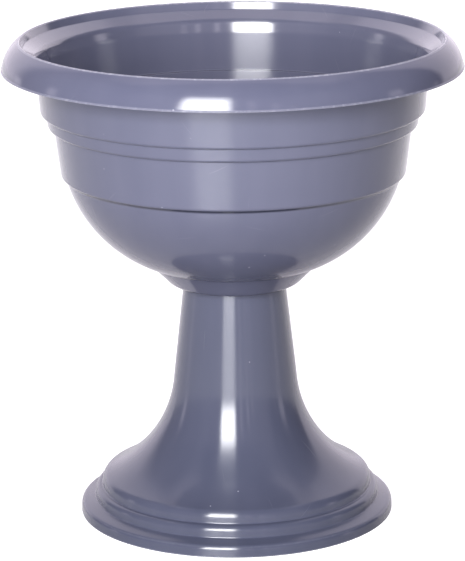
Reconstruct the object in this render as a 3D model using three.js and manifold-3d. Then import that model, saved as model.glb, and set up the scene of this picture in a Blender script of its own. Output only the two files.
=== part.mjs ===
// Garden vase: a wide footed bowl that plugs into a flared pedestal, two thin plastic mouldings.
// Millimetres, +Z up, the origin on the ground under the middle of the foot.
import * as THREE from "three";
import { mergeVertices } from "three/addons/utils/BufferGeometryUtils.js";
import Module from "manifold-3d";

const wasm = await Module();
wasm.setup();

// Both mouldings: wall, clearance where one seats on the other, and how finely curves are cut
const WALL = 2.5;
const PLAY = 0.3;
const ROUND_STEPS = 60;
const CORNER_FACET = THREE.MathUtils.degToRad(26);
const WELD = 1e-4;

// Bowl: the lip curls out and down from the crest; inside it a short drop meets a sloping shelf
const LIP_EDGE = { r: 200, z: 400 };
const LIP_CURL = { rise: 3.5, steps: 5 };
const CREST = { r: 183.7, z: 425.66, round: 1.2 };
const DROP_FOOT = { r: 180.1, z: 417.8, round: 1.5 };
const SHELF_FOOT = { r: 168, z: 408.6, round: 12 };

// Bowl: height of each step in the wall, and the wall's outside radius above and below it
const BANDS = [
  { z: 362.3, above: 167.1, below: 162.6 },
  { z: 350.1, above: 160.9, below: 155.8 },
  { z: 306.2, above: 150.4, below: 146.6 },
];

// Bowl: round bottom, foot collar and floor
const BOTTOM_ARC = { r: 33.5, z: 335.6, radius: 116.8, end: THREE.MathUtils.degToRad(69), steps: 7 };
const COLLAR = { step: 1, round: 14, insideRound: 2 };
const FLOOR_Z = 207.3;
const DRAIN_HOLES = { count: 6, radius: 4.5, pitchRadius: 25, sides: 16 };

// Bowl: plug under the floor, with ribs that centre it in the neck
const PLUG = { radius: 41.6, draft: 0.4, length: 21, wall: 2.2 };
const PLUG_RIBS = { count: 6, reach: 42, thick: 1.6, length: 16 };

// Pedestal: three mouldings of the foot, lowest first
const FOOT_RADIUS = 138.8;
const MOULD_3 = { r: 138.4, z: 9.6, round: 4.4 };
const COVE = { r: 126.2, z: 13.2, round: 0.8 };
const MOULD_2 = { r: 125.8, z: 23.2, round: 5 };
const CREASE = { r: 119.6, z: 23.6 };
const MOULD_1 = { r: 119.3, z: 32.9, round: 8 };

// Pedestal: the flare is one arc, and above it the stem tapers to the neck
const FLARE_ARC = { r: 160.9, z: 131.6, radius: 106.9, low: 37, high: 124, steps: 7 };
const NECK_RADIUS = 44.95;

const corner = (r, z, round = 0) => ({ r, z, round });

// A point for each corner of a section, or an arc's points where the corner is rounded.
function outline(corners) {
  const points = [];
  corners.forEach((c, i) => {
    const here = new THREE.Vector2(c.r, c.z);
    if (!c.round) {
      points.push(here);
      return;
    }
    const back = new THREE.Vector2(corners[i - 1].r, corners[i - 1].z).sub(here).normalize();
    const ahead = new THREE.Vector2(corners[i + 1].r, corners[i + 1].z).sub(here).normalize();
    const opening = Math.acos(THREE.MathUtils.clamp(back.dot(ahead), -1, 1));
    const turn = Math.PI - opening;
    const middle = back.clone().add(ahead).normalize();
    const centre = here.clone().addScaledVector(middle, c.round / Math.sin(opening / 2));
    const start = here.clone().addScaledVector(back, c.round * Math.tan(turn / 2)).sub(centre);
    const side = Math.sign(back.cross(ahead));
    const steps = Math.max(1, Math.round(turn / CORNER_FACET));
    for (let k = 0; k <= steps; k++) {
      const angle = (-side * turn * k) / steps;
      points.push(start.clone().rotateAround(new THREE.Vector2(), angle).add(centre));
    }
  });
  return points;
}

// The other face of a wall: each corner moved to the left of the path by the wall's thickness.
function otherFace(corners, thickness) {
  return corners.map((c, i) => {
    const here = new THREE.Vector2(c.r, c.z);
    const before = corners[Math.max(i - 1, 0)];
    const after = corners[Math.min(i + 1, corners.length - 1)];
    const into = i ? here.clone().sub(new THREE.Vector2(before.r, before.z)).normalize() : null;
    const out = after === c ? null : new THREE.Vector2(after.r, after.z).sub(here).normalize();
    const first = left(into ?? out);
    const second = left(out ?? into);
    const mitre = first.clone().add(second).divideScalar(1 + first.dot(second));
    const moved = here.addScaledVector(mitre, thickness);
    const turnsLeft = into && out ? into.cross(out) > 0 : false;
    const round = c.round ? Math.max(0, c.round + (turnsLeft ? -thickness : thickness)) : 0;
    return corner(moved.x, moved.y, round);
  });
}

const left = (v) => new THREE.Vector2(-v.y, v.x);

// Corners on an arc about a centre, from one angle below the horizontal to another.
function arcCorners(centre, radius, from, to, steps) {
  return Array.from({ length: steps + 1 }, (_, k) => {
    const angle = THREE.MathUtils.lerp(from, to, k / steps);
    return corner(centre.r + radius * Math.cos(angle), centre.z - radius * Math.sin(angle));
  });
}

// Corners on a shallow arc between two points, which stands out from the chord by the rise.
function bulgeCorners(from, to, rise, steps) {
  const chord = new THREE.Vector2(to.r - from.r, to.z - from.z);
  const radius = (chord.length() ** 2 / 4 + rise ** 2) / (2 * rise);
  const half = Math.asin(chord.length() / 2 / radius);
  const middle = new THREE.Vector2(from.r, from.z).addScaledVector(chord, 0.5);
  const inward = left(chord).normalize();
  const centre = middle.addScaledVector(inward, radius - rise);
  return Array.from({ length: steps }, (_, k) => {
    const angle = THREE.MathUtils.lerp(-half, half, k / steps);
    const spoke = inward.clone().multiplyScalar(-radius).rotateAround(new THREE.Vector2(), angle);
    return corner(centre.x + spoke.x, centre.y + spoke.y);
  });
}

function solid(geometry) {
  const bare = geometry.clone();
  bare.deleteAttribute("normal");
  bare.deleteAttribute("uv");
  const merged = mergeVertices(bare, WELD);
  const index = merged.index.array;
  const faces = [];
  for (let i = 0; i < index.length; i += 3) {
    const [a, b, c] = index.slice(i, i + 3);
    if (a !== b && b !== c && c !== a) faces.push(a, b, c);
  }
  return new wasm.Manifold(
    new wasm.Mesh({
      numProp: 3,
      vertProperties: merged.attributes.position.array,
      triVerts: new Uint32Array(faces),
    }),
  );
}

// A turned solid. The section runs anticlockwise, with the radius to the right and Z up.
function turned(points) {
  const lathe = new THREE.LatheGeometry(points, ROUND_STEPS);
  return solid(lathe.rotateX(Math.PI / 2));
}

function meshOf(name, made, material) {
  const { vertProperties, triVerts } = made.getMesh();
  const geometry = new THREE.BufferGeometry();
  geometry.setAttribute("position", new THREE.BufferAttribute(vertProperties, 3));
  geometry.setIndex(new THREE.BufferAttribute(triVerts, 1));
  geometry.computeVertexNormals();
  const mesh = new THREE.Mesh(geometry, material);
  mesh.name = name;
  return mesh;
}

const aroundAxis = (count, place) =>
  Array.from({ length: count }, (_, k) => place((k * 2 * Math.PI) / count));

// The upper face of the bowl's wall, from the lip's edge over the crest to the end of the bottom.
function bowlWall() {
  const curl = bulgeCorners(LIP_EDGE, CREST, LIP_CURL.rise, LIP_CURL.steps);
  const bands = BANDS.flatMap(({ z, above, below }) => [
    corner(above - WALL, z + WALL),
    corner(below - WALL, z + WALL),
  ]);
  const start = Math.asin((BOTTOM_ARC.z - BANDS[2].z) / BOTTOM_ARC.radius);
  const insideRadius = BOTTOM_ARC.radius - WALL;
  const bottom = arcCorners(BOTTOM_ARC, insideRadius, start, BOTTOM_ARC.end, BOTTOM_ARC.steps);
  return [...curl, CREST, DROP_FOOT, SHELF_FOOT, ...bands, ...bottom];
}

// The foot collar's outside falls at 45 degrees from the bowl and rounds under to the floor.
function bowlSection() {
  const wall = bowlWall();
  const wallOutside = otherFace(wall, WALL);
  const edge = wallOutside.at(-1);
  const fall = edge.z - FLOOR_Z;
  const well = edge.r - COLLAR.step - fall;
  const inset = WALL * Math.tan(Math.PI / 8);
  const inside = [
    ...wall.slice(0, -1),
    corner(edge.r - 2 * COLLAR.step, edge.z + WALL - COLLAR.step / 2, COLLAR.insideRound),
    corner(well - inset, FLOOR_Z + WALL, COLLAR.round - WALL),
    corner(0, FLOOR_Z + WALL),
  ];
  const plugEnd = FLOOR_Z - PLUG.length;
  const outside = [
    ...wallOutside,
    corner(edge.r - COLLAR.step, edge.z),
    corner(well, FLOOR_Z, COLLAR.round),
    corner(PLUG.radius, FLOOR_Z),
    corner(PLUG.radius - PLUG.draft, plugEnd),
    corner(PLUG.radius - PLUG.draft - PLUG.wall, plugEnd),
    corner(PLUG.radius - PLUG.wall, FLOOR_Z),
    corner(0, FLOOR_Z),
  ];
  return [...outline(outside).reverse(), ...outline(inside)];
}

function bowl() {
  const floorMiddle = FLOOR_Z + WALL / 2;
  const ribs = aroundAxis(PLUG_RIBS.count, (angle) => {
    const { reach, thick, length } = PLUG_RIBS;
    const root = PLUG.radius - PLUG.wall / 2;
    const rib = new THREE.BoxGeometry(reach - root, thick, length);
    rib.translate((reach + root) / 2, 0, floorMiddle - length / 2);
    return solid(rib.rotateZ(angle));
  });
  const drains = aroundAxis(DRAIN_HOLES.count, (angle) => {
    const { radius, pitchRadius, sides } = DRAIN_HOLES;
    const hole = new THREE.CylinderGeometry(radius, radius, 2 * WALL, sides);
    hole.rotateX(Math.PI / 2);
    hole.translate(pitchRadius, 0, floorMiddle);
    return solid(hole.rotateZ(angle));
  });
  const shell = ribs.reduce((body, rib) => body.add(rib), turned(bowlSection()));
  return drains.reduce((body, hole) => body.subtract(hole), shell);
}

// The pedestal's outside from the ground to the neck's rim; its wall lies to the left of it.
function pedestalSection() {
  const { low, high, radius, z, steps } = FLARE_ARC;
  const angleOf = (height) => Math.PI + Math.asin((height - z) / radius);
  const rim = FLOOR_Z - PLAY;
  const outside = [
    corner(FOOT_RADIUS, 0),
    MOULD_3,
    COVE,
    MOULD_2,
    CREASE,
    MOULD_1,
    ...arcCorners(FLARE_ARC, radius, angleOf(low), angleOf(high), steps),
    corner(NECK_RADIUS, rim),
  ];
  const inside = otherFace(outside, WALL);
  inside[0] = corner(FOOT_RADIUS - WALL, 0);
  inside[inside.length - 1] = corner(NECK_RADIUS - WALL, rim);
  const section = [...outline(outside), ...outline(inside).reverse()];
  return [...section, section[0].clone()];
}

const plastic = () =>
  new THREE.MeshStandardMaterial({ color: 0x6a6b86, roughness: 0.3, metalness: 0 });

const vase = new THREE.Group();
vase.add(meshOf("pedestal", turned(pedestalSection()), plastic()));
vase.add(meshOf("bowl", bowl(), plastic()));

export default vase;
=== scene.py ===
import math

import bmesh
import bpy
from mathutils import Matrix, Vector


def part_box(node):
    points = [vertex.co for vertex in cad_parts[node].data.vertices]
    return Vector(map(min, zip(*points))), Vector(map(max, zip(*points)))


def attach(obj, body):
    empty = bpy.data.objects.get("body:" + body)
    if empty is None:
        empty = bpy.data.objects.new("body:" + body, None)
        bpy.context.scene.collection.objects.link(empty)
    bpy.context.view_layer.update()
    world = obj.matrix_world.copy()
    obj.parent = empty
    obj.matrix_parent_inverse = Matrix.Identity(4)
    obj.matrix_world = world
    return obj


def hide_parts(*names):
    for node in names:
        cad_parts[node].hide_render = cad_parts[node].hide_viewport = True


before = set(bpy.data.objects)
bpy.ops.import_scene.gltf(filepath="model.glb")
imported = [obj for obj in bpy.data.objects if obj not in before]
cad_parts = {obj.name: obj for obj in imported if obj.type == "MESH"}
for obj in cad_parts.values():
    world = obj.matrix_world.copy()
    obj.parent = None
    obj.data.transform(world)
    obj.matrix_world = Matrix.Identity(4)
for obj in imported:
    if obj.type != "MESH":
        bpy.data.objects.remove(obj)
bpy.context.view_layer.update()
scene = bpy.context.scene
scene.view_settings.view_transform = "Standard"

# Camera
# It stands 2.6 m in front of the vase and 0.9 m up, and looks 15 degrees down.
# It is held half a degree off level, as the lip and the foot in the photo show.
CAMERA_PLACE = Vector((-0.00182, -2.5955, 0.9025))
CAMERA_PITCH = 0.2614
CAMERA_ROLL = -0.0099
FRAME_HEIGHT_PX = 561
FOCAL_PX = 3052.7
FILM_HEIGHT_MM = 36.0

camera = bpy.data.cameras.new("camera")
camera.sensor_fit = "VERTICAL"
camera.sensor_height = FILM_HEIGHT_MM
camera.lens = FOCAL_PX / FRAME_HEIGHT_PX * FILM_HEIGHT_MM
camera_object = bpy.data.objects.new("camera", camera)
tilt = Matrix.Rotation(math.pi / 2 - CAMERA_PITCH, 4, "X") @ Matrix.Rotation(CAMERA_ROLL, 4, "Z")
camera_object.matrix_world = Matrix.Translation(CAMERA_PLACE) @ tilt
scene.collection.objects.link(camera_object)
scene.camera = camera_object


# Studio floor
# One sheet of matte white paper. It shows white to the camera and in the gloss of the vase, and keeps
# the shadow. The patch shut in under the foot glows a little, so that the hollow foot shows from below.
FLOOR_SIZE = 12.0
FLOOR_COLOUR = (0.8, 0.8, 0.805, 1)
FLOOR_BOUNCE = (0.17, 0.17, 0.175, 1)
FLOOR_LIFT = 0.8
GLOSS_LIFT = 0.48
GLOSS_LIFT_FROM = 0.25
GLOSS_LIFT_FULL = 1.0
UNDER_FOOT_RADIUS = 0.137
UNDER_FOOT_GLOW = 0.6
FLOOR_SHEEN_ROUGHNESS = 0.3
FLOOR_SHEEN = (0.11, 0.11, 0.11, 1)


def shader_nodes(owner):
    """Empties a material's or world's node tree and gives its nodes, its links and a new output."""
    owner.use_nodes = True
    tree = owner.node_tree
    tree.nodes.clear()
    kind = "ShaderNodeOutputWorld" if isinstance(owner, bpy.types.World) else "ShaderNodeOutputMaterial"
    return tree.nodes, tree.links, tree.nodes.new(kind)


def feed(tree, socket, value):
    """Sets an input to a value, or links another node's output to it."""
    if isinstance(value, bpy.types.NodeSocket):
        tree.links.new(value, socket)
    elif value is not None:
        socket.default_value = value


def math_node(tree, operation, a, b=None, c=None, clamp=False):
    """A Math node whose inputs are numbers or other nodes' sockets. Returns its output."""
    node = tree.nodes.new("ShaderNodeMath")
    node.operation = operation
    node.use_clamp = clamp
    for socket, value in zip(node.inputs, (a, b, c)):
        feed(tree, socket, value)
    return node.outputs[0]


def vector_node(tree, operation, a, b=None):
    """A Vector Math node. Returns its vector, or its value for an operation that gives one."""
    node = tree.nodes.new("ShaderNodeVectorMath")
    node.operation = operation
    for socket, value in zip(node.inputs, (a, b)):
        feed(tree, socket, value)
    return node.outputs["Value" if operation in ("DOT_PRODUCT", "LENGTH") else "Vector"]


def two_tone(tree, first, second, share):
    """The first colour turned into the second by a share from 0 to 1."""
    mixed = tree.nodes.new("ShaderNodeMix")
    mixed.data_type = "RGBA"
    for label, value in (("A", first), ("B", second), ("Factor", share)):
        feed(tree, mixed.inputs[label], value)
    return mixed.outputs["Result"]


def object_from(name, bm, material):
    """A smooth-shaded object at the origin from a bmesh, with one material."""
    mesh = bpy.data.meshes.new(name)
    bm.to_mesh(mesh)
    bm.free()
    mesh.shade_smooth()
    mesh.materials.append(material)
    made = bpy.data.objects.new(name, mesh)
    scene.collection.objects.link(made)
    return made


paper = bpy.data.materials.new("studio_paper")
nodes, links, output = shader_nodes(paper)
tree = paper.node_tree
path = nodes.new("ShaderNodeLightPath").outputs
seen = math_node(tree, "MAXIMUM", path["Is Camera Ray"], path["Is Transmission Ray"])
shown_pale = math_node(tree, "MAXIMUM", seen, path["Is Glossy Ray"])
matte = nodes.new("ShaderNodeBsdfDiffuse")
links.new(two_tone(tree, FLOOR_BOUNCE, FLOOR_COLOUR, shown_pale), matte.inputs["Color"])
sheen = nodes.new("ShaderNodeBsdfGlossy")
sheen.inputs["Roughness"].default_value = FLOOR_SHEEN_ROUGHNESS
sheen.inputs["Color"].default_value = FLOOR_SHEEN
floor_radius = vector_node(tree, "LENGTH", nodes.new("ShaderNodeTexCoord").outputs["Object"])
farther = math_node(tree, "SUBTRACT", floor_radius, GLOSS_LIFT_FROM)
far_share = math_node(tree, "DIVIDE", farther, GLOSS_LIFT_FULL - GLOSS_LIFT_FROM, clamp=True)
far_lift = math_node(tree, "MULTIPLY", far_share, GLOSS_LIFT)
mirrored = math_node(tree, "MULTIPLY", path["Is Glossy Ray"], far_lift)
lift = math_node(tree, "MULTIPLY_ADD", seen, FLOOR_LIFT, mirrored)
under_foot = math_node(tree, "LESS_THAN", floor_radius, UNDER_FOOT_RADIUS)
under_foot_glow = math_node(tree, "MULTIPLY", path["Is Diffuse Ray"], UNDER_FOOT_GLOW)
lift = math_node(tree, "MULTIPLY", lift, math_node(tree, "SUBTRACT", 1.0, under_foot))
white = nodes.new("ShaderNodeEmission")
links.new(math_node(tree, "MULTIPLY_ADD", under_foot, under_foot_glow, lift), white.inputs["Strength"])
lifted = nodes.new("ShaderNodeAddShader")
links.new(matte.outputs[0], lifted.inputs[0])
links.new(white.outputs[0], lifted.inputs[1])
glared = nodes.new("ShaderNodeAddShader")
links.new(lifted.outputs[0], glared.inputs[0])
links.new(sheen.outputs[0], glared.inputs[1])
by_path = nodes.new("ShaderNodeMixShader")
links.new(path["Is Glossy Ray"], by_path.inputs[0])
links.new(lifted.outputs[0], by_path.inputs[1])
links.new(glared.outputs[0], by_path.inputs[2])
clear = nodes.new("ShaderNodeBsdfTransparent")
side = nodes.new("ShaderNodeNewGeometry")
one_sided = nodes.new("ShaderNodeMixShader")
links.new(side.outputs["Backfacing"], one_sided.inputs[0])
links.new(by_path.outputs[0], one_sided.inputs[1])
links.new(clear.outputs[0], one_sided.inputs[2])
links.new(one_sided.outputs[0], output.inputs["Surface"])

bm = bmesh.new()
bmesh.ops.create_grid(bm, x_segments=1, y_segments=1, size=FLOOR_SIZE / 2)
floor = object_from("floor", bm, paper)


# Studio light
# One tall softbox stands beside the camera on its left. The gloss also shows a white wall behind the vase,
# a dim room in front with a pale left side, a bright ceiling over the softbox and some narrow far windows.
SOFTBOX_AZIMUTH = math.radians(-13)
SOFTBOX_DISTANCE = 2.5
SOFTBOX_WIDTH = 1.22
SOFTBOX_FOOT = 0.2
SOFTBOX_TOP = 2.7
FILL_BEHIND = 0.05
FILL_FOOT = 0.4
FILL_TOP = 1.75
SOFTBOX_FILL_WATTS = 118
SOFTBOX_GLOSS_WATTS = 330
SOFTBOX_FADE = {"side": 0.2, "foot": 0.5, "top": 1.0}
PAST_THE_SOFTBOX = 9.0
ROOM_FRONT = 0.03
ROOM_COLOUR = (1.0, 0.92, 1.04, 1)
# Panels of the room: from and to azimuth, soft edge, from and to elevation, soft edge, brightness
PANELS = [
    (125, 186, 5, -60, 55, 9, 1.37),
    (186, 228, 14, -60, 55, 9, 1.37),
    (75, 285, 20, 58, 95, 9, 1.15),
    (-60, 60, 12, -60, 40, 12, 0.45),
    (-125, -60, 10, -60, 52, 10, 0.2),
    (-103, -96, 3, -12, 13, 8, 2.0),
    (82, 91, 3, -12, 13, 8, 2.0),
    (-135, -127, 3, -10, 4, 4, 1.0),
    (116, 120, 2, -8, 2, 3, 0.8),
    (7.5, 10.5, 1.5, -3, 30, 6, 1.8),
    (19.5, 22.5, 1.5, -1, 22, 4, 1.6),
    (28, 31, 1.5, -1, 12, 3, 1.5),
]


def node_group(name, inputs, outputs):
    """A node group whose inputs are given with their defaults. Returns its tree and its two end nodes."""
    tree = bpy.data.node_groups.new(name, "ShaderNodeTree")
    for label, default in inputs.items():
        kind = "NodeSocketVector" if default is None else "NodeSocketFloat"
        socket = tree.interface.new_socket(label, in_out="INPUT", socket_type=kind)
        if default is not None:
            socket.default_value = default
    for label in outputs:
        tree.interface.new_socket(label, in_out="OUTPUT", socket_type="NodeSocketFloat")
    return tree, tree.nodes.new("NodeGroupInput").outputs, tree.nodes.new("NodeGroupOutput").inputs


def use_group(tree, group, **values):
    """Places a node group and feeds its inputs by name, with underscores for the spaces."""
    node = tree.nodes.new("ShaderNodeGroup")
    node.node_tree = group
    for label, value in values.items():
        feed(tree, node.inputs[label.replace("_", " ")], value)
    return node.outputs


def parts_of(tree, vector):
    """The three parts of a vector, or of a colour that stands for one."""
    split = tree.nodes.new("ShaderNodeSeparateXYZ")
    tree.links.new(vector, split.inputs[0])
    return split.outputs


def area_light(name, azimuth, distance, width, low, high, watts):
    """A rectangle of light that faces the vase's axis. Azimuth 0 is the camera's side."""
    lamp = bpy.data.lights.new(name, "AREA")
    lamp.shape = "RECTANGLE"
    lamp.size = width
    lamp.size_y = high - low
    lamp.energy = watts
    made = bpy.data.objects.new(name, lamp)
    place = Vector((math.sin(azimuth) * distance, -math.cos(azimuth) * distance, (low + high) / 2))
    turn = Matrix.Rotation(azimuth, 4, "Z") @ Matrix.Rotation(math.pi / 2, 4, "X")
    made.matrix_world = Matrix.Translation(place) @ turn
    made.visible_camera = False
    scene.collection.objects.link(made)
    return made


softbox_fill = area_light("softbox_fill", SOFTBOX_AZIMUTH, SOFTBOX_DISTANCE + FILL_BEHIND, SOFTBOX_WIDTH,
                          FILL_FOOT, FILL_TOP, SOFTBOX_FILL_WATTS)
softbox_fill.visible_glossy = False
softbox_face = area_light("softbox_face", SOFTBOX_AZIMUTH, SOFTBOX_DISTANCE, SOFTBOX_WIDTH,
                          SOFTBOX_FOOT, SOFTBOX_TOP, SOFTBOX_GLOSS_WATTS)
softbox_face.visible_diffuse = False

band_inputs = {"Value": 0.0, "From": 0.0, "To": 1.0, "Edge": 0.1}
band_mask, given, made = node_group("Band Mask", band_inputs, ["Mask"])
width = math_node(band_mask, "MAXIMUM", given["Edge"], 1e-6)
above = math_node(band_mask, "SUBTRACT", given["Value"], given["From"])
below = math_node(band_mask, "SUBTRACT", given["To"], given["Value"])
rise = math_node(band_mask, "ADD", math_node(band_mask, "DIVIDE", above, width), 0.5, clamp=True)
fall = math_node(band_mask, "ADD", math_node(band_mask, "DIVIDE", below, width), 0.5, clamp=True)
band_mask.links.new(math_node(band_mask, "MULTIPLY", rise, fall), made["Mask"])

softbox_face.data.use_nodes = True
tree = softbox_face.data.node_tree
tree.nodes.clear()
cloth = tree.nodes.new("ShaderNodeEmission")
on_cloth = parts_of(tree, tree.nodes.new("ShaderNodeTexCoord").outputs["Object"])
half_width = (SOFTBOX_WIDTH - SOFTBOX_FADE["side"]) / 2
half_height = (SOFTBOX_TOP - SOFTBOX_FOOT) / 2
ramps = [
    ("X", -half_width, half_width, SOFTBOX_FADE["side"]),
    ("Y", SOFTBOX_FADE["foot"] / 2 - half_height, PAST_THE_SOFTBOX, SOFTBOX_FADE["foot"]),
    ("Y", -PAST_THE_SOFTBOX, half_height - SOFTBOX_FADE["top"] / 2, SOFTBOX_FADE["top"]),
]
glow = 1.0
for axis, start, end, fade in ramps:
    ramp = use_group(tree, band_mask, Value=on_cloth[axis], From=start, To=end, Edge=fade)["Mask"]
    glow = math_node(tree, "MULTIPLY", glow, ramp)
tree.links.new(glow, cloth.inputs["Strength"])
tree.links.new(cloth.outputs[0], tree.nodes.new("ShaderNodeOutputLight").inputs["Surface"])

world = bpy.data.worlds.new("studio")
scene.world = world
nodes, links, output = shader_nodes(world)
tree = world.node_tree
x, y, z = parts_of(tree, nodes.new("ShaderNodeTexCoord").outputs["Generated"])
azimuth = math_node(tree, "DEGREES", math_node(tree, "ARCTAN2", x, math_node(tree, "MULTIPLY", y, -1)))
elevation = math_node(tree, "DEGREES", math_node(tree, "ARCSINE", z))
azimuth_from_back = math_node(tree, "MODULO", math_node(tree, "ADD", azimuth, 360), 360)
room = ROOM_FRONT
for from_az, to_az, az_edge, from_el, to_el, el_edge, brightness in PANELS:
    around = azimuth_from_back if to_az > 180 else azimuth
    across = use_group(tree, band_mask, Value=around, From=from_az, To=to_az, Edge=az_edge)["Mask"]
    upward = use_group(tree, band_mask, Value=elevation, From=from_el, To=to_el, Edge=el_edge)["Mask"]
    panel = math_node(tree, "MULTIPLY", across, upward)
    room = math_node(tree, "MULTIPLY_ADD", panel, brightness, room)
seen = nodes.new("ShaderNodeLightPath").outputs["Is Camera Ray"]
strength = math_node(tree, "MULTIPLY_ADD", room, math_node(tree, "SUBTRACT", 1.0, seen), seen)
sky = nodes.new("ShaderNodeBackground")
links.new(two_tone(tree, ROOM_COLOUR, (1, 1, 1, 1), seen), sky.inputs["Color"])
links.new(strength, sky.inputs["Strength"])
links.new(sky.outputs[0], output.inputs["Surface"])


# Pedestal
# One injection-moulded plastic shell, open underneath: a tapered neck, a flared stem and a foot of
# three stepped mouldings. It stands loose on its lower rim, and its neck carries the bowl.
WALL = 0.0025
ROUND_STEPS = 180
FACET = math.radians(9)
SUPPORT = 0.0003
FLAT_LENGTH = 0.0036

FOOT_RADIUS = 0.1388
MOULD_3 = (0.1384, 0.0096, 0.0044)
COVE = (0.1262, 0.0132, 0.0012)
MOULD_2 = (0.1258, 0.0232, 0.005)
CREASE = (0.1196, 0.0236, 0.0013)
MOULD_1 = (0.1193, 0.0329, 0.008)
FLARE_CENTRE = Vector((0.1609, 0.1316))
FLARE_RADIUS = 0.1069
FLARE_LOW = 0.037
FLARE_HIGH = 0.124
FLARE_STEPS = 36
NECK_RADIUS = 0.04495
RIM_ROUND = 0.0004

# The plastic's surface: scales in waves per metre, sizes and heights in metres
# The pale colour of scratches, dust and worn edges, also used for the painted highlights along some of the
# bowl's edges.
SCUFF_AND_GLINT_COLOUR = (0.44, 0.44, 0.52, 1)
CLOUD_SCALE = 9.0
FLOW_STRETCH = (6, 6, 0.6)
FLOW_SCALE = 6.0
WEAR_AND_GLINT_BLUR = 0.0006
NICK_SCALE = 240.0
SCRATCHES = {"Spacing": 0.03, "Width": 0.00025, "Length": 0.011, "Amount": 0.3}
SCRATCH_SHADE = 0.12
SCRATCH_DEPTH = 1.2e-5
DUST = {"Spacing": 0.012, "Size": 0.0011, "Amount": 0.16}
DUST_SHADE = 0.8
TURNING = {"Spacing": 0.0035, "Depth": 1.1e-5}
RING_DRIFT_SCALE = 14.0
RING_DRIFT = 0.0012
RIPPLE_SCALE = 28.0
RIPPLE_HEIGHT = 6e-5
PEEL_SCALE = 190.0
PEEL_HEIGHT = 1.2e-5
STREAK_SCALE = 280.0
STREAK_HEIGHT = 6e-6
FLOOR_PINS = {"Count": 6.0, "Pitch_Radius": 0.0335, "Pin_Radius": 0.003}
PIN_DEPTH = 8e-5
HANDLED_SCALE = 17.0
HANDLED_HAZE = 0.06
HANDLED_COAT = 0.05
INSIDE_HAZE = 0.03
INSIDE_GLOSS = 0.4
MARKS_DULL = 0.8
GRAIN = 0.97
GRAIN_FROM = 0.006
GRAIN_BLEND = 0.012


def to_left(v):
    """A flat vector turned a quarter to the left."""
    return Vector((-v.y, v.x))


def other_face(corners, thickness):
    """The other face of a wall: each corner moved to the left of the path, across the mitre."""
    points = [Vector((r, z)) for r, z, _ in corners]
    moved = []
    for i, (here, (_, _, rounding)) in enumerate(zip(points, corners)):
        into = (here - points[i - 1]).normalized() if i else None
        out = (points[i + 1] - here).normalized() if i + 1 < len(points) else None
        first = to_left(into or out)
        second = to_left(out or into)
        place = here + (first + second) * thickness / (1 + first.dot(second))
        turns_left = bool(into and out and into.x * out.y - into.y * out.x > 0)
        grown = rounding - thickness if turns_left else rounding + thickness
        moved.append((place.x, place.y, max(grown, RIM_ROUND) if rounding else 0))
    return moved


def arc(centre, radius, start, end, steps):
    """Corners along an arc. Angles run from +radius, and a positive one lies below the centre."""
    angles = [start + (end - start) * k / steps for k in range(steps + 1)]
    return [(centre.x + radius * math.cos(a), centre.y - radius * math.sin(a), 0) for a in angles]


def section_wire(bm, corners, closed):
    """A wire through corners (radius, height, rounding) in the XZ plane, rounded by vertex bevels."""
    verts = [bm.verts.new((r, 0, z)) for r, z, _ in corners]
    ends = verts[1:] + verts[:1] if closed else verts[1:]
    for a, b in zip(verts, ends):
        bm.edges.new((a, b))
    for i, (vert, (_, _, rounding)) in enumerate(zip(verts, corners)):
        if not rounding:
            continue
        before = Vector(corners[i - 1][:2])
        after = Vector(corners[(i + 1) % len(corners)][:2])
        here = Vector(corners[i][:2])
        turn = (here - before).angle(after - here)
        offset = rounding * math.tan(turn / 2)
        steps = max(2, round(turn / FACET))
        bmesh.ops.bevel(bm, geom=[vert], offset=offset, offset_type="OFFSET", segments=steps,
                        profile=0.5, affect="VERTICES", material=-1)
    for edge in [e for e in bm.edges if e.calc_length() > FLAT_LENGTH]:
        near, far = edge.verts
        length = edge.calc_length()
        _, middle = bmesh.utils.edge_split(edge, near, SUPPORT / length)
        rest = next(e for e in middle.link_edges if e.other_vert(middle) is far)
        bmesh.utils.edge_split(rest, far, SUPPORT / rest.calc_length())


def turned(corners, closed):
    """A closed wall turned once round the axis, seams and poles merged, faces outwards."""
    bm = bmesh.new()
    section_wire(bm, corners, closed)
    bmesh.ops.spin(bm, geom=bm.verts[:] + bm.edges[:], cent=(0, 0, 0), axis=(0, 0, 1),
                   angle=math.tau, steps=ROUND_STEPS, use_merge=True)
    bmesh.ops.remove_doubles(bm, verts=bm.verts, dist=1e-6)
    bmesh.ops.recalc_face_normals(bm, faces=bm.faces)
    return bm


def noise(tree, vector, scale, detail=2.0, roughness=0.5):
    """A noise texture's value over a vector, with the scale in waves per metre."""
    node = tree.nodes.new("ShaderNodeTexNoise")
    tree.links.new(vector, node.inputs["Vector"])
    for label, value in (("Scale", scale), ("Detail", detail), ("Roughness", roughness)):
        feed(tree, node.inputs[label], value)
    return node.outputs["Fac"]


def stretch(tree, vector, scale):
    """A vector scaled along its axes."""
    node = tree.nodes.new("ShaderNodeMapping")
    tree.links.new(vector, node.inputs["Vector"])
    node.inputs["Scale"].default_value = scale
    return node.outputs[0]


def hypotenuse(tree, a, b):
    """The length of two sides at a right angle."""
    return math_node(tree, "SQRT", math_node(tree, "MULTIPLY_ADD", a, a, math_node(tree, "MULTIPLY", b, b)))


def round_place(tree, vector):
    """Splits a place into its radius, its angle, its height and a vector of radius and height alone."""
    x, y, z = parts_of(tree, vector)
    radius = hypotenuse(tree, x, y)
    section = tree.nodes.new("ShaderNodeCombineXYZ")
    tree.links.new(radius, section.inputs["X"])
    tree.links.new(z, section.inputs["Z"])
    return radius, math_node(tree, "ARCTAN2", y, x), z, section.outputs[0]


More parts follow.
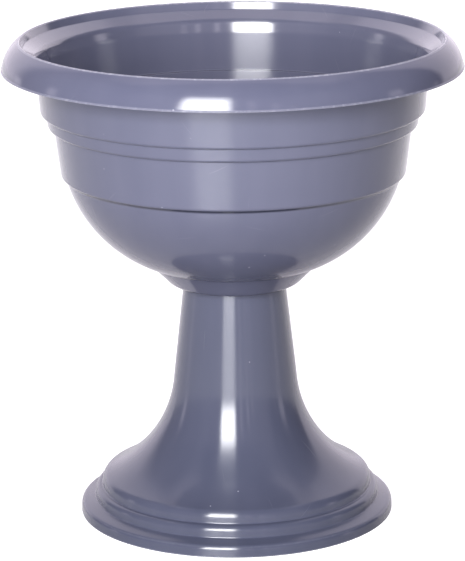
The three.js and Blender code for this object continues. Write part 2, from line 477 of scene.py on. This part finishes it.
ring_inputs = {"Vector": None, "Spacing": 0.002, "Depth": 2e-6}
rings, given, made = node_group("Turning Marks", ring_inputs, ["Height"])
radius, angle, height, section = round_place(rings, given["Vector"])
drift = math_node(rings, "MULTIPLY", noise(rings, given["Vector"], RING_DRIFT_SCALE), RING_DRIFT)
shifted = vector_node(rings, "ADD", section, drift)
fine = noise(rings, shifted, math_node(rings, "DIVIDE", 1.0, given["Spacing"]), 3.0, 0.6)
rings.links.new(math_node(rings, "MULTIPLY", fine, given["Depth"]), made["Height"])

scratch_inputs = {"Vector": None, "Spacing": 0.03, "Width": 0.0002, "Length": 0.01, "Amount": 0.5}
scratches, given, made = node_group("Handling Scratches", scratch_inputs, ["Mask"])
cells = scratches.nodes.new("ShaderNodeTexVoronoi")
scratches.links.new(given["Vector"], cells.inputs["Vector"])
scratches.links.new(math_node(scratches, "DIVIDE", 1.0, given["Spacing"]), cells.inputs["Scale"])
from_middle = vector_node(scratches, "SUBTRACT", given["Vector"], cells.outputs["Position"])
centred = vector_node(scratches, "SUBTRACT", cells.outputs["Color"], (0.5, 0.5, 0.5))
across = vector_node(scratches, "DOT_PRODUCT", from_middle, vector_node(scratches, "NORMALIZE", centred))
gap = math_node(scratches, "DIVIDE", math_node(scratches, "ABSOLUTE", across), given["Width"])
thin = math_node(scratches, "SUBTRACT", 1.0, gap, clamp=True)
reach = math_node(scratches, "MULTIPLY", cells.outputs["Distance"], given["Spacing"])
reach = math_node(scratches, "DIVIDE", reach, given["Length"])
ended = math_node(scratches, "SUBTRACT", 1.0, reach, clamp=True)
ended = math_node(scratches, "MULTIPLY", ended, 2.0, clamp=True)
red, green, blue = parts_of(scratches, cells.outputs["Color"])
mixed = math_node(scratches, "ADD", math_node(scratches, "ADD", red, green), blue)
chance = math_node(scratches, "FRACT", math_node(scratches, "MULTIPLY", mixed, 7.0))
drawn = math_node(scratches, "LESS_THAN", chance, given["Amount"])
line = math_node(scratches, "MULTIPLY", thin, ended)
scratches.links.new(math_node(scratches, "MULTIPLY", line, drawn), made["Mask"])

speck_inputs = {"Vector": None, "Spacing": 0.01, "Size": 0.0004, "Amount": 0.3}
specks, given, made = node_group("Dust Specks", speck_inputs, ["Mask"])
cells = specks.nodes.new("ShaderNodeTexVoronoi")
specks.links.new(given["Vector"], cells.inputs["Vector"])
specks.links.new(math_node(specks, "DIVIDE", 1.0, given["Spacing"]), cells.inputs["Scale"])
red, green, blue = parts_of(specks, cells.outputs["Color"])
away = math_node(specks, "MULTIPLY", cells.outputs["Distance"], given["Spacing"])
reach = math_node(specks, "MAXIMUM", math_node(specks, "MULTIPLY", green, given["Size"]), 1e-5)
within = math_node(specks, "SUBTRACT", 1.0, math_node(specks, "DIVIDE", away, reach), clamp=True)
within = math_node(specks, "MULTIPLY", within, 3.0, clamp=True)
chosen = math_node(specks, "LESS_THAN", red, given["Amount"])
specks.links.new(math_node(specks, "MULTIPLY", within, chosen), made["Mask"])

pin_inputs = {"Vector": None, "Count": 6.0, "Pitch Radius": 0.03, "Pin Radius": 0.004}
pins, given, made = node_group("Pin Marks", pin_inputs, ["Mask"])
radius, angle, height, section = round_place(pins, given["Vector"])
step = math_node(pins, "DIVIDE", math.tau, given["Count"])
turned_on = math_node(pins, "MODULO", math_node(pins, "ADD", angle, math.tau), step)
turned_back = math_node(pins, "SUBTRACT", turned_on, math_node(pins, "MULTIPLY", step, 0.5))
aside = math_node(pins, "MULTIPLY", radius, math_node(pins, "SINE", turned_back))
along = math_node(pins, "MULTIPLY", radius, math_node(pins, "COSINE", turned_back))
along = math_node(pins, "SUBTRACT", along, given["Pitch Radius"])
distance = hypotenuse(pins, aside, along)
pin = use_group(pins, band_mask, Value=distance, From=-1.0, To=given["Pin Radius"], Edge=0.0003)["Mask"]
pins.links.new(pin, made["Mask"])


def relief_normal(tree, height):
    """The normal of a relief whose height is in metres."""
    bump = tree.nodes.new("ShaderNodeBump")
    bump.inputs["Distance"].default_value = 1.0
    tree.links.new(height, bump.inputs["Height"])
    return bump.outputs[0]


def moulded_plastic(name, dark, pale, edges, coat, coat_roughness, haze_level, haze_roughness):
    """Glossy moulded plastic: cloudy colour, faint turning marks, scratches, dust, and edge rings painted
    paler, which stand for wear and, on the bowl, for painted highlights.
    """
    material = bpy.data.materials.new(name)
    nodes, links, output = shader_nodes(material)
    tree = material.node_tree
    place = nodes.new("ShaderNodeTexCoord").outputs["Object"]
    radius, angle, height, section = round_place(tree, place)

    cloudy = noise(tree, place, CLOUD_SCALE, 3.0)
    streaky = noise(tree, stretch(tree, place, FLOW_STRETCH), FLOW_SCALE, 2.0)
    tone = math_node(tree, "MULTIPLY_ADD", math_node(tree, "ADD", cloudy, streaky), 1.6, -1.1, clamp=True)
    colour = two_tone(tree, dark, pale, tone)

    # Each listed edge ring is painted paler: on the foot this is wear, on the bowl partly wear and partly
    # painted highlights along bright edges.
    edge_wear_and_glint = 0.0
    for from_z, to_z, from_r, to_r, strength in edges:
        ring = use_group(tree, band_mask, Value=height, From=from_z, To=to_z, Edge=WEAR_AND_GLINT_BLUR)["Mask"]
        side = use_group(tree, band_mask, Value=radius, From=from_r, To=to_r, Edge=WEAR_AND_GLINT_BLUR)["Mask"]
        ring_wear_and_glint = math_node(tree, "MULTIPLY", ring, side)
        edge_wear_and_glint = math_node(tree, "MULTIPLY_ADD", ring_wear_and_glint, strength, edge_wear_and_glint)
    nicks = math_node(tree, "SUBTRACT", noise(tree, place, NICK_SCALE, 3.0), 0.5)
    nicks = math_node(tree, "MULTIPLY", nicks, 6.0, clamp=True)
    edge_wear_and_glint = math_node(tree, "MULTIPLY", edge_wear_and_glint, math_node(tree, "MULTIPLY_ADD", nicks, 0.45, 0.55))
    scratch = use_group(tree, scratches, Vector=place, **SCRATCHES)["Mask"]
    dust = use_group(tree, specks, Vector=place, **DUST)["Mask"]
    marks_and_glints = math_node(tree, "MAXIMUM", math_node(tree, "MULTIPLY", scratch, SCRATCH_SHADE),
                       math_node(tree, "MULTIPLY", dust, DUST_SHADE))
    marks_and_glints = math_node(tree, "MAXIMUM", marks_and_glints, edge_wear_and_glint)

    turning = use_group(tree, rings, Vector=place, **TURNING)["Height"]
    ripple = math_node(tree, "MULTIPLY", noise(tree, place, RIPPLE_SCALE, 1.0), RIPPLE_HEIGHT)
    orange_peel = math_node(tree, "MULTIPLY", noise(tree, place, PEEL_SCALE, 2.0), PEEL_HEIGHT)
    ripple = math_node(tree, "ADD", ripple, orange_peel)
    floor_pins = use_group(tree, pins, Vector=place, **FLOOR_PINS)["Mask"]
    pressed = math_node(tree, "MULTIPLY_ADD", floor_pins, -PIN_DEPTH, ripple)
    cut = math_node(tree, "MULTIPLY_ADD", scratch, -SCRATCH_DEPTH, pressed)
    grooved = math_node(tree, "ADD", cut, turning)
    streaks = noise(tree, section, STREAK_SCALE, 3.0, 0.6)
    streaked = math_node(tree, "MULTIPLY_ADD", streaks, STREAK_HEIGHT, ripple)

    shape = nodes.new("ShaderNodeNewGeometry")
    outward = vector_node(tree, "DOT_PRODUCT", shape.outputs["Normal"], stretch(tree, place, (1, 1, 0)))
    inside = math_node(tree, "LESS_THAN", outward, 0.0)
    handled = noise(tree, place, HANDLED_SCALE, 4.0, 0.6)
    haze = math_node(tree, "MULTIPLY_ADD", handled, HANDLED_HAZE, haze_roughness)
    haze = math_node(tree, "MULTIPLY_ADD", inside, INSIDE_HAZE, haze)
    gloss = math_node(tree, "MULTIPLY", math_node(tree, "MULTIPLY_ADD", inside, INSIDE_GLOSS, coat),
                      math_node(tree, "MULTIPLY_ADD", marks_and_glints, -MARKS_DULL, 1.0, clamp=True))
    grain = nodes.new("ShaderNodeTangent")
    grain.direction_type = "RADIAL"
    grain.axis = "Z"
    from_pole = math_node(tree, "SUBTRACT", radius, GRAIN_FROM)
    grained = math_node(tree, "DIVIDE", from_pole, GRAIN_BLEND, clamp=True)

    shader = nodes.new("ShaderNodeBsdfPrincipled")
    shader.inputs["Anisotropic Rotation"].default_value = 0.25
    shader.inputs["Coat IOR"].default_value = 1.5
    for label, value in (
        ("Base Color", two_tone(tree, colour, SCUFF_AND_GLINT_COLOUR, marks_and_glints)),
        ("Roughness", haze),
        ("Specular IOR Level", math_node(tree, "MULTIPLY_ADD", inside, INSIDE_GLOSS, haze_level)),
        ("Anisotropic", math_node(tree, "MULTIPLY", grained, GRAIN)),
        ("Tangent", grain.outputs[0]),
        ("Normal", relief_normal(tree, grooved)),
        ("Coat Weight", gloss),
        ("Coat Roughness", math_node(tree, "MULTIPLY_ADD", handled, HANDLED_COAT, coat_roughness)),
        ("Coat Normal", relief_normal(tree, streaked)),
    ):
        links.new(value, shader.inputs[label])
    links.new(shader.outputs[0], output.inputs["Surface"])
    return material


# Edge rings painted paler: from and to height, from and to radius, strength. On the foot they are wear.
FOOT_EDGES = [(-1, 0.001, 0, 1, 0.35), (0.0085, 0.0098, 0.137, 1, 0.1), (0.0222, 0.0234, 0.1245, 1, 0.1)]
pedestal_plastic = moulded_plastic(
    "pedestal_plastic", dark=(0.07, 0.077, 0.122, 1), pale=(0.08, 0.087, 0.135, 1), edges=FOOT_EDGES,
    coat=0.25, coat_roughness=0.09, haze_level=0.38, haze_roughness=0.17)
neck_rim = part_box("pedestal")[1].z
flare_angle = [math.pi + math.asin((z - FLARE_CENTRE.y) / FLARE_RADIUS) for z in (FLARE_LOW, FLARE_HIGH)]
pedestal_outside = [
    (FOOT_RADIUS, 0, RIM_ROUND),
    MOULD_3,
    COVE,
    MOULD_2,
    CREASE,
    MOULD_1,
    *arc(FLARE_CENTRE, FLARE_RADIUS, *flare_angle, FLARE_STEPS),
    (NECK_RADIUS, neck_rim, RIM_ROUND),
]
pedestal_inside = other_face(pedestal_outside, WALL)
pedestal_inside[0] = (FOOT_RADIUS - WALL, 0, RIM_ROUND)
pedestal_inside[-1] = (NECK_RADIUS - WALL, neck_rim, RIM_ROUND)
bm = turned(pedestal_outside + pedestal_inside[::-1], True)
pedestal = object_from("pedestal_moulding", bm, pedestal_plastic)
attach(pedestal, "pedestal")
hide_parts("pedestal")


# Bowl
# One injection-moulded plastic shell: curled lip with a thin bead along its edge, sloping shelf inside,
# three stepped bands, round bottom, and a foot collar whose floor rests on the pedestal's neck.
LIP_SKIRT_END = (0.1994, 0.4018)
LIP_BEAD = [(0.19999, 0.4013, 0.0003), (0.19999, 0.4002, 0.0003)]
LIP_BULGE = 0.0033
LIP_STEPS = 24
CREST = (0.1837, 0.42545, 0.0012)
DROP_FOOT = (0.1808, 0.4178, 0.0015)
SHELF_FOOT = (0.1693, 0.4096, 0.007)
MOUTH_EASE = (0.1673, 0.3995, 0.03)
BANDS = [(0.3623, 0.1671, 0.1626), (0.3501, 0.1609, 0.1558), (0.3062, 0.1504, 0.1466)]
BAND_EDGE_ROUND = 0.0006
BOTTOM_CENTRE = Vector((0.0335, 0.3356))
BOTTOM_RADIUS = 0.1168
BOTTOM_END = math.radians(69)
BOTTOM_STEPS = 36
COLLAR_STEP = 0.001
COLLAR_EDGE_ROUND = 0.0003
COLLAR_INSIDE_ROUND = 0.002
COLLAR_ROUND = 0.014
FLOOR_Z = 0.2073
PLUG_RADIUS = 0.0416
PLUG_DRAFT = 0.0004
PLUG_WALL = 0.0022
PLUG_EDGE_ROUND = 0.0004
PLUG_RIBS = 6
RIB_REACH = 0.042
RIB_THICK = 0.0016
RIB_LENGTH = 0.016
RIB_EDGE_ROUND = 0.0002
DRAIN_HOLES = 6
DRAIN_RADIUS = 0.0045
DRAIN_PITCH_RADIUS = 0.025
DRAIN_EDGE_ROUND = 0.0004
DRAIN_FIELD = (0.0165, 0.0195, 0.0225, 0.0255, 0.0285, 0.031, 0.0335)
DRAIN_FIELD_STEPS = 8


def bulge(start, end, rise, steps):
    """Corners on a shallow arc from start towards end, which stands out from the chord by the rise."""
    start, end = Vector(start), Vector(end)
    chord = end - start
    radius = (chord.length_squared / 4 + rise ** 2) / (2 * rise)
    half = math.asin(chord.length / 2 / radius)
    inward = to_left(chord).normalized()
    centre = (start + end) / 2 + inward * (radius - rise)
    spokes = [Matrix.Rotation(-half + 2 * half * k / steps, 2) @ (-inward * radius) for k in range(steps)]
    return [(centre.x + s.x, centre.y + s.y, 0) for s in spokes]


def circle(bm, centre, radius, height, count):
    """Points on a level ring about a point of the floor, in order round it."""
    angles = [-math.pi + math.tau * k / count for k in range(count)]
    places = [centre + Vector((math.cos(a), math.sin(a))) * radius for a in angles]
    return [bm.verts.new((place.x, place.y, height)) for place in places]


def drill(bm, angle, low, high):
    """A drain hole: a patch of the floor's two faces is taken out and joined again round the hole."""
    half = DRAIN_FIELD_STEPS * math.tau / ROUND_STEPS
    centre = Vector((math.cos(angle), math.sin(angle))) * DRAIN_PITCH_RADIUS
    patch = []
    for face in bm.faces:
        at = face.calc_center_median()
        aside = (math.atan2(at.y, at.x) - angle + math.pi) % math.tau - math.pi
        level = low - 1e-4 < at.z < high + 1e-4
        if level and DRAIN_FIELD[0] < at.to_2d().length < DRAIN_FIELD[-1] and abs(aside) < half:
            patch.append(face)
    bmesh.ops.delete(bm, geom=patch, context="FACES")
    open_verts = {v for e in bm.edges if e.is_boundary for v in e.verts}
    rims = []
    for height in (high, low):
        rim = [v for v in open_verts if abs(v.co.z - height) < 1e-5]
        rims.append(sorted(rim, key=lambda v: math.atan2(v.co.y - centre.y, v.co.x - centre.x)))
    count = len(rims[0])
    wide = DRAIN_RADIUS + DRAIN_EDGE_ROUND
    rings = [(wide + SUPPORT, high), (wide, high), (DRAIN_RADIUS, high - DRAIN_EDGE_ROUND),
             (DRAIN_RADIUS, low + DRAIN_EDGE_ROUND), (wide, low), (wide + SUPPORT, low)]
    loops = [rims[0], *(circle(bm, centre, radius, z, count) for radius, z in rings), rims[1]]
    for first, second in zip(loops, loops[1:]):
        def apart(shift):
            return sum((a.co - second[(k + shift) % count].co).length_squared for k, a in enumerate(first))
        shift = min(range(count), key=apart)
        for k, a in enumerate(first):
            b, c = second[(k + shift) % count], second[(k + 1 + shift) % count]
            bm.faces.new((a, first[(k + 1) % count], c, b))


skirt = bulge(LIP_SKIRT_END, CREST[:2], LIP_BULGE, LIP_STEPS)
steps_inside = [
    corner
    for z, above, below in BANDS
    for corner in ((above - WALL, z + WALL, BAND_EDGE_ROUND), (below - WALL, z + WALL, BAND_EDGE_ROUND))
]
bottom_start = math.asin((BOTTOM_CENTRE.y - BANDS[2][0]) / BOTTOM_RADIUS)
bottom = arc(BOTTOM_CENTRE, BOTTOM_RADIUS - WALL, bottom_start, BOTTOM_END, BOTTOM_STEPS)
wall_inside = [*skirt, CREST, DROP_FOOT, SHELF_FOOT, MOUTH_EASE, *steps_inside, *bottom]
wall_outside = other_face(wall_inside, WALL)
edge = wall_outside[-1]
well = edge[0] - COLLAR_STEP - (edge[1] - FLOOR_Z)
plug_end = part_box("bowl")[0].z
upper = [
    *LIP_BEAD[::-1],
    *wall_inside[:-1],
    (edge[0] - 2 * COLLAR_STEP, edge[1] + WALL - COLLAR_STEP / 2, COLLAR_INSIDE_ROUND),
    (well - WALL * math.tan(math.pi / 8), FLOOR_Z + WALL, COLLAR_ROUND - WALL),
    *[(r, FLOOR_Z + WALL, 0) for r in DRAIN_FIELD[::-1]],
    (0, FLOOR_Z + WALL, 0),
]
lower = [
    *wall_outside[:-1],
    (edge[0], edge[1], COLLAR_EDGE_ROUND),
    (edge[0] - COLLAR_STEP, edge[1], COLLAR_EDGE_ROUND),
    (well, FLOOR_Z, COLLAR_ROUND),
    (PLUG_RADIUS, FLOOR_Z, PLUG_EDGE_ROUND),
    (PLUG_RADIUS - PLUG_DRAFT, plug_end, PLUG_EDGE_ROUND),
    (PLUG_RADIUS - PLUG_DRAFT - PLUG_WALL, plug_end, PLUG_EDGE_ROUND),
    (PLUG_RADIUS - PLUG_WALL, FLOOR_Z, PLUG_EDGE_ROUND),
    *[(r, FLOOR_Z, 0) for r in DRAIN_FIELD[::-1]],
    (0, FLOOR_Z, 0),
]
bm = turned(lower[::-1] + upper, False)
for k in range(DRAIN_HOLES):
    drill(bm, math.tau * k / DRAIN_HOLES, FLOOR_Z, FLOOR_Z + WALL)
for k in range(PLUG_RIBS):
    root = PLUG_RADIUS - PLUG_WALL / 2
    middle = Vector(((root + RIB_REACH) / 2, 0, FLOOR_Z - RIB_LENGTH / 2))
    size = Matrix.Diagonal((RIB_REACH - root, RIB_THICK, RIB_LENGTH, 1))
    turn = Matrix.Rotation(math.tau * k / PLUG_RIBS, 4, "Z")
    rib = bmesh.ops.create_cube(bm, size=1, matrix=turn @ Matrix.Translation(middle) @ size)
    rib_edges = list(dict.fromkeys(e for v in rib["verts"] for e in v.link_edges))
    bmesh.ops.bevel(bm, geom=rib_edges, offset=RIB_EDGE_ROUND, segments=2, profile=0.5,
                    affect="EDGES", material=-1)
bmesh.ops.recalc_face_normals(bm, faces=bm.faces)
# The bowl's lip edge is partly wear and partly a painted highlight. The crest ring and the three band edges
# are painted highlights along bright edges.
BOWL_EDGES = [(0.3985, 0.4022, 0.1985, 1, 0.42), (0.424, 1, 0.1815, 0.186, 0.75)]
BOWL_EDGES += [(z, z + 0.0011, above - 0.001, above + 0.002, 0.3) for z, above, _ in BANDS]
bowl_plastic = moulded_plastic(
    "bowl_plastic", dark=(0.111, 0.116, 0.178, 1), pale=(0.124, 0.129, 0.193, 1), edges=BOWL_EDGES,
    coat=0.6, coat_roughness=0.06, haze_level=0.09, haze_roughness=0.16)
bowl = object_from("bowl_moulding", bm, bowl_plastic)
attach(bowl, "bowl")
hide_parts("bowl")
